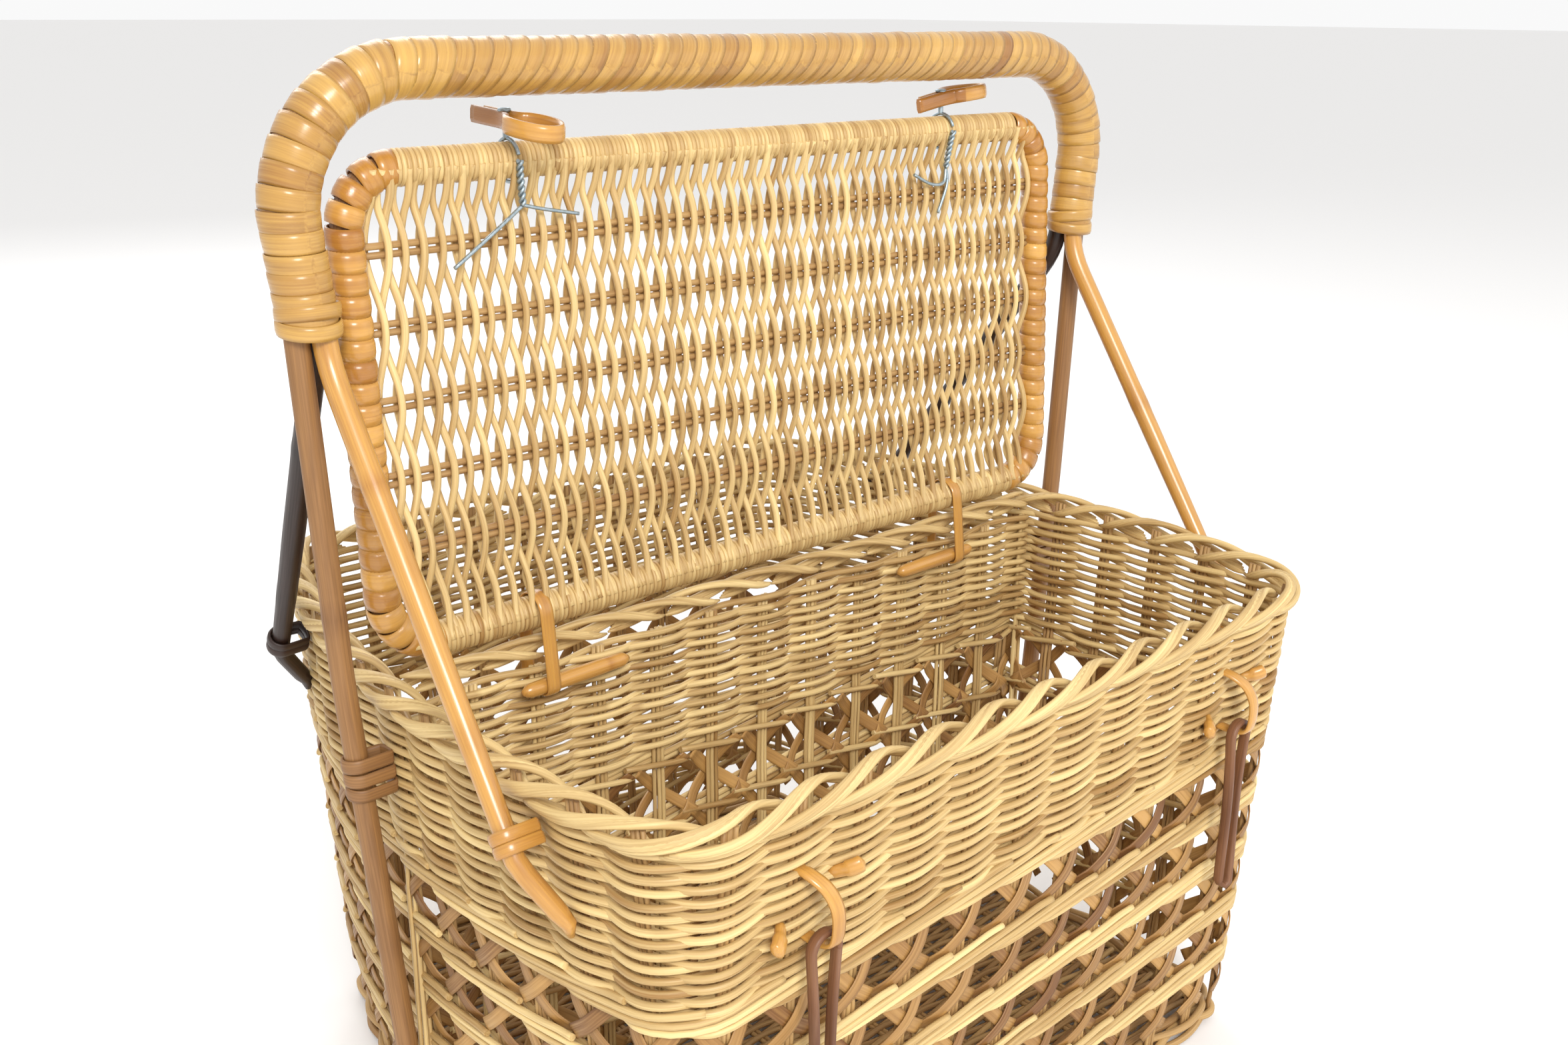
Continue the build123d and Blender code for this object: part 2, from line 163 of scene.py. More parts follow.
def slice_centre(node, height, side):
    """Middle of a CAD rod where the level plane at that height cuts it, on one side of the basket."""
    mesh = frame["nodes"][node].data
    points = np.array([v.co for v in mesh.vertices])
    edges = np.array([e.vertices[:] for e in mesh.edges])
    a, b = points[edges[:, 0]], points[edges[:, 1]]
    da, db = a[:, 2] - height, b[:, 2] - height
    hit = (da * db < 0) & (side * a[:, 0] > 0)
    f = (da[hit] / (da[hit] - db[hit]))[:, None]
    cut = a[hit] + (b[hit] - a[hit]) * f
    return (cut.min(0) + cut.max(0)) / 2


# ---- where things go: the round wall, the partition and the lid ----
class RoundWall:
    """The basket's wall. A place is u stakes round from the left post, a height and a step out."""

    def __init__(self):
        band_low, band_high = box_of("rim_band")
        lattice_high = box_of("lattice_wall")[1]
        self.height = band_high[2] - MM
        ring = self.outline("rim_band", self.height)
        self.lean = (band_high[1] - lattice_high[1]) / (band_high[2] - band_low[2])
        step = np.roll(ring, -1, 0) - np.roll(ring, 1, 0)
        normal = unit(np.stack([step[:, 1], -step[:, 0]], 1))
        middle = ring - normal * wall_middle
        edge = np.linalg.norm(np.roll(middle, -1, 0) - middle, axis=1)
        self.length = edge.sum()
        self.along = np.concatenate([[0], np.cumsum(edge)]) / self.length * stake_count
        self.middle = np.vstack([middle, middle[:1]])
        self.normals = np.vstack([normal, normal[:1]])
        self.stakes = stake_count
        self.closed = True

    def outline(self, node, height, count=1440):
        """Outer plan of a wall node at one height, from the left side round by the front."""
        mesh = frame["nodes"][node].data
        tree = BVHTree.FromPolygons([v.co for v in mesh.vertices], [p.vertices for p in mesh.polygons])
        ring = []
        for angle in np.linspace(math.pi, 3 * math.pi, count, endpoint=False):
            ray = Vector((math.cos(angle), math.sin(angle), 0))
            hit = tree.ray_cast(ray + Vector((0, 0, height)), -ray)[0]
            ring.append((hit.x, hit.y))
        return np.array(ring)

    def normal(self, u):
        u = np.asarray(u) % self.stakes
        flat = np.stack([np.interp(u, self.along, self.normals[:, k]) for k in range(2)], -1)
        return np.concatenate([unit(flat), np.zeros(flat.shape[:-1] + (1,))], -1)

    def at(self, u, z, out):
        u = np.asarray(u, float) % self.stakes
        z, out = np.broadcast_to(z, u.shape), np.broadcast_to(out, u.shape)
        place = np.stack([np.interp(u, self.along, self.middle[:, k]) for k in range(2)], -1)
        normal = self.normal(u)[..., :2]
        place = place + normal * (out - (self.height - z) * self.lean)[..., None]
        return np.concatenate([place, z[..., None]], -1)


class StraightWall:
    """The partition. u counts its stakes from the left, and out points to the rear half."""

    def __init__(self):
        low, high = box_of("partition_band")
        self.stakes = 12
        self.left = low[0]
        self.pitch = (high[0] - low[0]) / self.stakes
        self.height = high[2]
        self.closed = False

    def normal(self, u):
        u = np.asarray(u, float)
        return np.broadcast_to(np.array([0.0, 1.0, 0.0]), u.shape + (3,))

    def at(self, u, z, out):
        u = np.asarray(u, float)
        z, out = np.broadcast_to(z, u.shape), np.broadcast_to(out, u.shape)
        return np.stack([self.left + u * self.pitch, out, z], -1)


class LidPlane:
    """The open lid. A place is x across, s up from the hinge line and a step towards its inner face."""

    def __init__(self):
        joint = next(j for j in frame["joints"] if j["name"] == "lid_hinge")
        self.hinge = np.array(joint["pos_m"])
        low, high = box_of("lid_front_edge_wrap")
        top = (low + high) / 2 - self.hinge
        lean = math.atan2(top[1], top[2])
        self.reach = math.hypot(top[1], top[2])
        self.up = np.array([0.0, math.sin(lean), math.cos(lean)])
        self.inner = np.array([0.0, -math.cos(lean), math.sin(lean)])
        low, high = box_of("lid_rear_edge_wrap")
        self.rod_radius = (high[1] - low[1]) / 2
        self.half_width = box_of("lid_side_wrap_right")[1][0] - self.rod_radius
        self.corner_radius = self.half_width - high[0]

    def at(self, x, s, n):
        x, s, n = np.broadcast_arrays(np.asarray(x, float), s, n)
        across = np.array([1.0, 0.0, 0.0])
        return self.hinge + x[..., None] * across + s[..., None] * self.up + n[..., None] * self.inner


wall = RoundWall()
partition = StraightWall()
lid = LidPlane()
band_low = box_of("rim_band")[0][2]
band_top = box_of("rim_band")[1][2]
rim_top = box_of("rim_border")[1][2]
foot_top = box_of("foot_wale")[1][2]
wrap_low = box_of("handle_wrap")[0][2]
wale_heights = [foot_top + 1 * MM + wale_pitch * k for k in range(6)]


# ---- laying rods and strips ----
class Work:
    """Rods and strips of one piece, gathered into one mesh."""

    def __init__(self):
        self.points = []
        self.faces = []
        self.sizes = []
        self.flat_faces = []
        self.tone = []
        self.grain = []
        self.total = 0

    def lay(self, route, out, width, thick=None, tone=0.5, closed=False, flat=1.0, sides=8, blunt=True):
        """Adds one rod or strip along a route. width and thick are half sizes, and out faces away."""
        route = np.asarray(route, float)
        count = len(route)
        thick = width if thick is None else thick
        out = np.broadcast_to(out, route.shape)
        width = np.broadcast_to(width, count).astype(float)
        thick = np.broadcast_to(thick, count).astype(float)
        tone = np.broadcast_to(tone, count).astype(float)
        if closed:
            heading = np.roll(route, -1, 0) - np.roll(route, 1, 0)
            pieces = np.linalg.norm(np.diff(route, axis=0), axis=1)
        else:
            heading = np.gradient(route, axis=0)
            pieces = np.linalg.norm(np.diff(route, axis=0), axis=1)
            if not blunt:
                width, thick = width.copy(), thick.copy()
                for ends in (width, thick):
                    ends[[0, -1]] *= 0.35
                    ends[[1, -2]] *= 0.8
        along = np.concatenate([[0], np.cumsum(pieces)])
        heading = unit(heading)
        side = unit(np.cross(heading, out))
        up = np.cross(side, heading)
        angle = np.arange(sides) * 2 * math.pi / sides + math.pi / sides
        c, s = np.cos(angle), np.sin(angle)
        c = np.sign(c) * np.abs(c) ** flat
        s = np.sign(s) * np.abs(s) ** flat
        across = width[:, None] * c[None]
        rise = thick[:, None] * s[None]
        ring = route[:, None] + side[:, None] * across[..., None] + up[:, None] * rise[..., None]
        start = rng.uniform(0, 40)
        grain = np.stack([across, rise, np.repeat((along + start)[:, None], sides, 1)], -1)
        index = self.total + np.arange(count * sides).reshape(count, sides)
        after = np.roll(index, -1, 0) if closed else index[1:]
        before = index if closed else index[:-1]
        quads = np.stack([before, np.roll(before, -1, 1), np.roll(after, -1, 1), after], -1)
        self.points.append(ring.reshape(-1, 3))
        self.grain.append(grain.reshape(-1, 3))
        self.tone.append(np.repeat(tone, sides))
        self.faces.append(quads.reshape(-1))
        self.sizes.append(np.full(quads.size // 4, 4))
        self.flat_faces.append(np.zeros(quads.size // 4, bool))
        if not closed:
            self.faces.append(index[0, ::-1])
            self.faces.append(index[-1])
            self.sizes.append(np.array([sides, sides]))
            self.flat_faces.append(np.array([blunt, blunt]))
        self.total += count * sides

    def make(self, name, body, slot, material, *replaced):
        points = np.concatenate(self.points)
        faces = np.concatenate(self.faces)
        sizes = np.concatenate(self.sizes)
        mesh = bpy.data.meshes.new(name)
        mesh.vertices.add(len(points))
        mesh.vertices.foreach_set("co", points.astype(np.float32).reshape(-1))
        mesh.loops.add(len(faces))
        mesh.loops.foreach_set("vertex_index", faces.astype(np.int32))
        mesh.polygons.add(len(sizes))
        starts = np.concatenate([[0], np.cumsum(sizes)[:-1]])
        mesh.polygons.foreach_set("loop_start", starts.astype(np.int32))
        mesh.polygons.foreach_set("loop_total", sizes.astype(np.int32))
        mesh.update(calc_edges=True)
        smooth = ~np.concatenate(self.flat_faces)
        mesh.polygons.foreach_set("use_smooth", smooth)
        tone = mesh.attributes.new("tone", "FLOAT", "POINT")
        tone.data.foreach_set("value", np.concatenate(self.tone).astype(np.float32))
        grain = mesh.attributes.new("grain", "FLOAT_VECTOR", "POINT")
        grain.data.foreach_set("vector", np.concatenate(self.grain).astype(np.float32).reshape(-1))
        mesh.validate()
        piece = bpy.data.objects.new(name, mesh)
        bpy.context.scene.collection.objects.link(piece)
        mesh.materials.append(material)
        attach(piece, body)
        if replaced:
            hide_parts(*replaced)
        return piece


def wander(u, size, stakes):
    """Small hand-made unevenness that changes from stake to stake."""
    steps = rng.normal(0, size, stakes + 1)
    steps[-1] = steps[0]
    return np.interp(np.asarray(u) % stakes, np.arange(stakes + 1), steps)


def rod_tones(u, stakes, middle=0.5, spread=0.18):
    """Tone along a woven row, which changes where one reed gives way to the next."""
    joins = np.sort(rng.uniform(0, stakes, 3))
    tones = rng.normal(middle, spread, 4)
    return tones[np.searchsorted(joins, np.asarray(u) % stakes)]


# ---- materials ----
class Net:
    """Adds nodes to a tree and wires them up."""

    def __init__(self, tree):
        self.tree = tree

    def add(self, kind, into=None, **settings):
        node = self.tree.nodes.new(kind)
        for key, value in settings.items():
            setattr(node, key, value)
        for socket, value in (into or {}).items():
            if isinstance(value, bpy.types.NodeSocket):
                self.tree.links.new(value, node.inputs[socket])
            else:
                node.inputs[socket].default_value = value
        return node

    def blend(self, share, first, second):
        node = self.add("ShaderNodeMix", data_type="RGBA")
        for socket, value in ((0, share), (6, first), (7, second)):
            if isinstance(value, bpy.types.NodeSocket):
                self.tree.links.new(value, node.inputs[socket])
            else:
                node.inputs[socket].default_value = value
        return node.outputs[2]

    def span(self, value, low, high, to_low=0.0, to_high=1.0):
        into = {0: value, 1: low, 2: high, 3: to_low, 4: to_high}
        return self.add("ShaderNodeMapRange", into).outputs[0]


def new_group(name, inputs, outputs):
    group = bpy.data.node_groups.new(name, "ShaderNodeTree")
    for label, kind, value in inputs:
        socket = group.interface.new_socket(label, in_out="INPUT", socket_type=kind)
        socket.default_value = value
    for label, kind in outputs:
        group.interface.new_socket(label, in_out="OUTPUT", socket_type=kind)
    return group, Net(group)


def cane_grain_group():
    """Lengthwise grain, tone from rod to rod, and stains, for the canes, the reeds and the leather."""
    inputs = [
        ("Light", "NodeSocketColor", (1, 1, 1, 1)),
        ("Dark", "NodeSocketColor", (0, 0, 0, 1)),
        ("Stain", "NodeSocketColor", (0, 0, 0, 1)),
        ("Stain Share", "NodeSocketFloat", 0.3),
        ("Streaks", "NodeSocketFloat", 0.5),
        ("Smooth", "NodeSocketFloat", 0.45),
        ("Rough", "NodeSocketFloat", 0.7),
    ]
    outputs = [
        ("Color", "NodeSocketColor"),
        ("Roughness", "NodeSocketFloat"),
        ("Height", "NodeSocketFloat"),
    ]
    group, net = new_group("cane_grain", inputs, outputs)
    given = net.add("NodeGroupInput").outputs
    place = net.add("ShaderNodeAttribute", attribute_name="grain").outputs["Vector"]
    tone = net.add("ShaderNodeAttribute", attribute_name="tone").outputs["Fac"]
    fine = net.add("ShaderNodeMapping", {"Vector": place, "Scale": (1500, 1500, 28)}).outputs[0]
    fibre = net.add("ShaderNodeTexNoise", {"Vector": fine, "Scale": 1.0, "Detail": 4.0}).outputs[0]
    broad = net.add("ShaderNodeMapping", {"Vector": place, "Scale": (180, 180, 22)}).outputs[0]
    cloud = net.add("ShaderNodeTexNoise", {"Vector": broad, "Scale": 1.0, "Detail": 3.0}).outputs[0]
    streak = net.span(fibre, 0.32, 0.68)
    mixed = net.add("ShaderNodeMath", {0: streak, 1: given["Streaks"]}, operation="MULTIPLY").outputs[0]
    lift = net.add("ShaderNodeMath", {0: mixed, 1: tone}, operation="ADD").outputs[0]
    share = net.span(lift, 0.15, 1.25)
    shade = net.blend(share, given["Dark"], given["Light"])
    spot = net.span(cloud, 0.52, 0.78)
    spots = net.add("ShaderNodeMath", {0: spot, 1: given["Stain Share"]}, operation="MULTIPLY").outputs[0]
    color = net.blend(spots, shade, given["Stain"])
    rough = net.add("ShaderNodeMix", {0: streak, 2: given["Rough"], 3: given["Smooth"]}).outputs[0]
    net.add("NodeGroupOutput", {"Color": color, "Roughness": rough, "Height": fibre})
    return group


cane_grain = cane_grain_group()


def cane_material(name, light, dark, stain, stain_share, streaks, smooth, rough, depth, coat=0.0):
    material = bpy.data.materials.new(name)
    material.use_nodes = True
    net = Net(material.node_tree)
    shader = material.node_tree.nodes["Principled BSDF"]
    grain = net.add("ShaderNodeGroup", node_tree=cane_grain)
    for socket, value in zip(grain.inputs, (light, dark, stain, stain_share, streaks, smooth, rough)):
        socket.default_value = (*value, 1) if isinstance(value, tuple) else value
    bump = net.add("ShaderNodeBump", {"Height": grain.outputs["Height"], "Strength": 0.6, "Distance": depth})
    links = material.node_tree.links
    links.new(grain.outputs["Color"], shader.inputs["Base Color"])
    links.new(grain.outputs["Roughness"], shader.inputs["Roughness"])
    links.new(bump.outputs[0], shader.inputs["Normal"])
    shader.inputs["Coat Weight"].default_value = coat
    shader.inputs["Coat Roughness"].default_value = 0.22
    return material


straw = cane_material(
    "straw_reed",
    light=(0.78, 0.585, 0.265), dark=(0.33, 0.18, 0.052), stain=(0.24, 0.10, 0.025),
    stain_share=0.38, streaks=0.45, smooth=0.42, rough=0.66, depth=0.00012,
)
lid_straw = cane_material(
    "lid_reed",
    light=(0.78, 0.585, 0.265), dark=(0.34, 0.18, 0.05), stain=(0.25, 0.105, 0.025),
    stain_share=0.42, streaks=0.45, smooth=0.40, rough=0.62, depth=0.00012,
)
stake_straw = cane_material(
    "stake_reed",
    light=(0.56, 0.36, 0.14), dark=(0.26, 0.125, 0.04), stain=(0.16, 0.07, 0.02),
    stain_share=0.4, streaks=0.5, smooth=0.5, rough=0.72, depth=0.00012,
)
lattice_cane = cane_material(
    "lattice_cane",
    light=(0.50, 0.28, 0.085), dark=(0.17, 0.068, 0.016), stain=(0.16, 0.06, 0.015),
    stain_share=0.4, streaks=0.45, smooth=0.35, rough=0.6, depth=0.0001,
)
honey = cane_material(
    "honey_cane",
    light=(0.68, 0.37, 0.085), dark=(0.36, 0.145, 0.022), stain=(0.25, 0.085, 0.02),
    stain_share=0.5, streaks=0.35, smooth=0.22, rough=0.42, depth=0.00006, coat=0.45,
)
handle_peel = cane_material(
    "handle_peel",
    light=(0.66, 0.40, 0.10), dark=(0.30, 0.13, 0.024), stain=(0.17, 0.06, 0.015),
    stain_share=0.55, streaks=0.35, smooth=0.24, rough=0.45, depth=0.00007, coat=0.4,
)
brown_cane = cane_material(
    "brown_cane",
    light=(0.33, 0.165, 0.055), dark=(0.14, 0.058, 0.018), stain=(0.10, 0.04, 0.015),
    stain_share=0.5, streaks=0.5, smooth=0.4, rough=0.62, depth=0.0001,
)
dark_cane = cane_material(
    "dark_cane",
    light=(0.040, 0.015, 0.008), dark=(0.012, 0.005, 0.003), stain=(0.01, 0.004, 0.003),
    stain_share=0.5, streaks=0.4, smooth=0.38, rough=0.55, depth=0.00008, coat=0.05,
)
leather = cane_material(
    "thong_leather",
    light=(0.26, 0.115, 0.05), dark=(0.10, 0.035, 0.014), stain=(0.40, 0.24, 0.15),
    stain_share=0.35, streaks=0.4, smooth=0.4, rough=0.65, depth=0.00012,
)


def wire_material():
    material = bpy.data.materials.new("galvanised_wire")
    material.use_nodes = True
    net = Net(material.node_tree)
    shader = material.node_tree.nodes["Principled BSDF"]
    place = net.add("ShaderNodeTexCoord").outputs["Object"]
    spots = net.add("ShaderNodeTexNoise", {"Vector": place, "Scale": 900.0, "Detail": 3.0}).outputs[0]
    tint = net.blend(spots, (0.20, 0.27, 0.31, 1), (0.50, 0.57, 0.60, 1))
    links = material.node_tree.links
    links.new(tint, shader.inputs["Base Color"])
    links.new(net.span(spots, 0.3, 0.7, 0.3, 0.55), shader.inputs["Roughness"])
    shader.inputs["Metallic"].default_value = 0.85
    return material


wire = wire_material()


# ---- the woven walls ----
def weave_rows(work, surface, first, last, low, high,
               radius=reed_radius, pitch=row_pitch, swing=row_swing, shift=0.0):
    """Rows of single reeds that go over one stake and under the next."""
    count = int((last - first) * samples_per_stake)
    u = np.linspace(first, last, count, endpoint=not surface.closed)
    for row in range(int(round((high - low) / pitch))):
        turn = math.pi * (u + row)
        out = shift + swing * np.cos(turn) + wander(u, 0.15 * MM, surface.stakes)
        rise = row_rise * np.sin(turn) + wander(u, 0.28 * MM, surface.stakes)
        height = low + (row + 0.5) * pitch + rise
        work.lay(
            surface.at(u, height, out),
            surface.normal(u),
            radius * rng.uniform(0.9, 1.08),
            tone=rod_tones(u, surface.stakes),
            closed=surface.closed,
        )


def stand_stakes(work, surface, low, high):
    """Upright stakes, each of three thin rods side by side."""
    count = surface.stakes + (0 if surface.closed else 1)
    for stake in range(count):
        for rod in (-1, 0, 1):
            heights = np.linspace(low, high, 24)
            step = rod * stake_rod_step / (wall.length / stake_count)
            u = stake + step + rng.normal(0, 0.006) + 0.004 * np.sin(heights * 90 + rod)
            out = rng.normal(0, 0.15 * MM) + 0.25 * MM * np.cos(heights * 130 + stake)
            work.lay(
                surface.at(u, heights, out),
                surface.normal(u),
                stake_rod_radius * rng.uniform(0.9, 1.1),
                tone=rng.normal(0.5, 0.15),
                sides=6,
            )


def lay_wale(work, surface, height):
    """One round of waling: each reed comes out low, rises over three stakes and ends cut off."""
    first = 0 if surface.closed else 1
    for stake in range(first, surface.stakes + (0 if surface.closed else 2)):
        lift = rng.normal(0, 0.25 * MM)
        top = wale_span - 0.3 + rng.normal(0, 0.05)
        way = [
            (-1.65, 0.15, -1.0),
            (-1.1, -0.45, -1.0),
            (-0.6, -1.0, -0.75),
            (-0.3, -1.0, 0.35),
            (0.0, -0.85, 1.0),
            (1.0, -0.25, 1.05),
            (2.0, 0.5, 1.05),
            (top - 0.3, 0.95, 1.1),
            (top, 1.15, 1.25),
        ]
        route = smooth_route(way, 34)
        u = stake + route[:, 0]
        keep = np.ones(len(u), bool) if surface.closed else (u > 0.05) & (u < surface.stakes - 0.05)
        if keep.sum() < 6:
            continue
        u, route = u[keep], route[keep]
        z = height + lift + route[:, 1] * wale_half_height
        out = route[:, 2] * wale_swing
        work.lay(
            surface.at(u, z, out),
            surface.normal(u),
            reed_radius * rng.uniform(0.84, 1.0),
            tone=rng.normal(0.5, 0.25),
        )


def lay_diagonals(work, surface, heights):
    """Flat canes that cross in front of each stake between two wales and pass behind the wales."""
    pitch = heights[1] - heights[0]
    for lean in (1, -1):
        over = 3.1 * MM if lean > 0 else 1.9 * MM
        for stake in range(-len(heights), surface.stakes + len(heights)):
            if surface.closed and not 0 <= stake < surface.stakes:
                continue
            way = []
            for cell, low in enumerate(heights[:-1]):
                u = stake + lean * cell
                z = low + pitch / 2
                way += [
                    (u - 0.30 * lean, z - 0.26 * pitch, over * 0.45),
                    (u, z, over),
                    (u + 0.24 * lean, z + 0.27 * pitch, over * 0.35),
                    (u + 0.44 * lean, z + 0.50 * pitch, -3.4 * MM),
                ]
            route = smooth_route(way, len(way) * 4)
            u = route[:, 0]
            if not surface.closed:
                keep = (u > 0.1) & (u < surface.stakes - 0.1)
                if keep.sum() < 8:
                    continue
                route, u = route[keep], u[keep]
            work.lay(
                surface.at(u, route[:, 1], route[:, 2]),
                surface.normal(u),
                diagonal_half_width * rng.uniform(0.9, 1.1),
                diagonal_half_thickness,
                tone=rng.normal(0.5, 0.22),
                flat=0.62,
            )


def plait_border(work, surface, middle, ring, first, last):
    """Rolled border: at each stake reeds rise from the outside, go over the top and tuck in."""
    for stake in range(first, last):
        lift = rng.normal(0, 0.3 * MM)
        for reed in range(plait_reeds):
            spread = reed - (plait_reeds - 1) / 2
            t = np.linspace(0, 1, 26)
            angle = np.radians(-46 + 262 * t ** 1.55 - 13 * spread)
            u = stake - 1.7 + 2.75 * t - 0.05 * spread
            tuck = np.clip((t - 0.78) / 0.22, 0, 1)
            girth = ring * (1 + 0.10 * np.sin(math.pi * np.clip(t * 1.4 - 0.1, 0, 1)) - 0.30 * tuck)
            out = girth * np.cos(angle)
            z = middle + lift + girth * np.sin(angle)
            route = surface.at(u, z, out)
            away = surface.normal(u) * np.cos(angle)[:, None]
            away = away + np.array([0, 0, 1.0]) * np.sin(angle)[:, None]
            keep = np.ones(len(u), bool) if surface.closed else (u > 0.02) & (u < surface.stakes - 0.02)
            if keep.sum() < 6:
                continue
            work.lay(
                route[keep],
                away[keep],
                plait_reed_radius * rng.uniform(0.93, 1.07),
                tone=rng.normal(0.62, 0.13),
                blunt=False,
            )


def build_round_wall():
    rows = Work()
    weave_rows(rows, wall, 0, stake_count, band_low + 4 * MM, band_top + 4 * MM)
    lay_wale(rows, wall, band_low + 1 * MM)
    rows.make("rim_band_weave", "basket", "reed", straw, "rim_band")
    stakes = Work()
    stand_stakes(stakes, wall, foot_top * 0.4, rim_top - 6 * MM)
    stakes.make("wall_stakes", "basket", "reed", stake_straw)
    wales = Work()
    for height in wale_heights[1:5]:
        lay_wale(wales, wall, height)
    wales.make("lattice_wales", "basket", "reed", straw, "lattice_wall")
    canes = Work()
    lay_diagonals(canes, wall, wale_heights)
    canes.make("lattice_diagonals", "basket", "reed", lattice_cane)
    border = Work()
    middle = (band_top + rim_top) / 2
    plait_border(border, wall, middle - 0.4 * MM, rim_plait_ring, 0, stake_count)
    border.make("rim_plait", "basket", "reed", straw, "rim_border")


def build_partition():
    rows = Work()
    weave_rows(rows, partition, 0, partition.stakes, band_low + 6 * MM, band_top)
    lay_wale(rows, partition, band_low + 2 * MM)
    rows.make("partition_band_weave", "basket", "reed", straw, "partition_band")
    lattice = Work()
    stand_stakes(lattice, partition, foot_top, band_top)
    for height in wale_heights[1:5]:
        lay_wale(lattice, partition, height)
    lattice.make("partition_stakes_and_wales", "basket", "reed", straw, "partition_lattice")
    canes = Work()
    lay_diagonals(canes, partition, wale_heights)
    canes.make("partition_diagonals", "basket", "reed", lattice_cane)
    border = Work()
    middle = (band_top + rim_top) / 2
    plait_border(border, partition, middle - 0.6 * MM, partition_plait_ring, 0, partition.stakes + 2)
    border.make("partition_plait", "basket", "reed", straw, "partition_rail")


def build_foot_and_base():
    foot = Work()
    for swing, shift in ((2.6 * MM, -0.5 * MM), (1.2 * MM, -6.2 * MM)):
        weave_rows(foot, wall, 0, stake_count, foot_bottom, foot_top,
                   foot_reed_radius, foot_row_pitch, swing, shift)
    foot.make("foot_wale_rows", "basket", "reed", stake_straw, "foot_wale")
    low, high = box_of("base_panel")
    middle = (low[2] + high[2]) / 2
    ring = wall.middle - wall.normals * (base_inset + wall.height * wall.lean)
    right = ring[ring[:, 0] > 0]
    right = right[right[:, 1].argsort()]
    base = Work()
    depths = np.arange(low[1] + 3 * MM, high[1] - 2 * MM, base_row_pitch)
    for row, y in enumerate(depths):
        half = np.interp(y, right[:, 1], right[:, 0])
        x = np.linspace(-half, half, 110)
        lift = base_swing * np.cos(math.pi * (x / base_stake_pitch + row))
        route = np.stack([x, np.full_like(x, y), middle + lift], 1)
        size = base_reed_radius * rng.uniform(0.92, 1.05)
        base.lay(route, (0, 0, -1.0), size, tone=rng.normal(0.45, 0.15), sides=6)
    for column in range(-7, 8):
        for rod in (-1, 1):
            x = column * base_stake_pitch + rod * base_stake_radius
            inside = right[right[:, 0] > abs(x) + 2 * MM]
            if len(inside) < 2:
                continue
            y = np.linspace(inside[:, 1].min(), inside[:, 1].max(), 12)
            route = np.stack([np.full_like(y, x), y, np.full_like(y, middle)], 1)
            base.lay(route, (0, 0, -1.0), base_stake_radius, tone=rng.normal(0.4, 0.1), sides=6)
    base.make("base_weave", "basket", "reed", stake_straw, "base_panel")


# ---- the handle ----
def cane_leg(work, node, side, low, high, tone, rings, taper):
    """One leg of a handle cane with its growth rings, from its lower end to inside the wrapping."""
    heights = np.linspace(low, high, 46)
    route = np.array([slice_centre(node, z, side) for z in heights])
    share = (heights - low) / (high - low)
    width = cane_radius * (taper + (1 - taper) * np.clip(share * 2.2, 0, 1))
    for place in rings:
        width = width * (1 + 0.07 * np.exp(-((share - place) / 0.012) ** 2))
    tone = tone - sum(0.55 * np.exp(-((share - place) / 0.010) ** 2) for place in rings)
    work.lay(route, (0, -1.0, 0), width, tone=tone, sides=16, blunt=False)


def build_canes():
    for node, material, slot, tone in (
        ("handle_cane_centre", brown_cane, "brown_cane", 0.62),
        ("handle_cane_front", honey, "glossy_cane", 0.55),
        ("handle_cane_rear", dark_cane, "dark_cane", 0.35),
    ):
        low = box_of(node)[0][2] + 1.5 * MM
        work = Work()
        for side, rings in ((-1, (0.30, 0.66)), (1, (0.52,))):
            taper = 1.0 if node == "handle_cane_centre" else 0.78
            cane_leg(work, node, side, low, wrap_low + 12 * MM, tone, rings, taper)
        work.make(node + "_legs", "basket", slot, material, node)


def handle_line():
    """Centre line of the wrapped handle, from its left end over the top to the right end."""
    high = box_of("handle_wrap")[1]
    radius = high[1]
    top = high[2] - radius
    knee = top - handle_corner_radius
    foot = box_of("handle_wrap_end_left")[0][2]
    right_low = slice_centre("handle_wrap", wrap_low + 2 * MM, 1)
    right_high = slice_centre("handle_wrap", knee - 3 * MM, 1)
    slope = (right_high[0] - right_low[0]) / (right_high[2] - right_low[2])
    edge = right_low[0] + slope * (top - right_low[2])
    start = (right_low[0] + slope * (foot - right_low[2]), foot)
    corner = edge - handle_corner_radius
    bend = np.linspace(0, math.pi / 2, 14)
    arc = [
        (corner + handle_corner_radius * math.cos(a), knee + handle_corner_radius * math.sin(a))
        for a in bend
    ]
    legs = np.linspace(start, arc[0], 8)[:-1]
    right = np.vstack([legs, arc])
    left = right * np.array([-1, 1])
    line = np.vstack([left, right[::-1]])
    line = np.stack([line[:, 0], np.zeros(len(line)), line[:, 1]], 1)
    gap = np.concatenate([[0], np.cumsum(np.linalg.norm(np.diff(line, axis=0), axis=1))])
    return line, gap, radius


def along_line(place, gap, line):
    """Points of a line at the given distances from its start."""
    return np.stack([np.interp(place, gap, line[:, k]) for k in range(3)], 1)


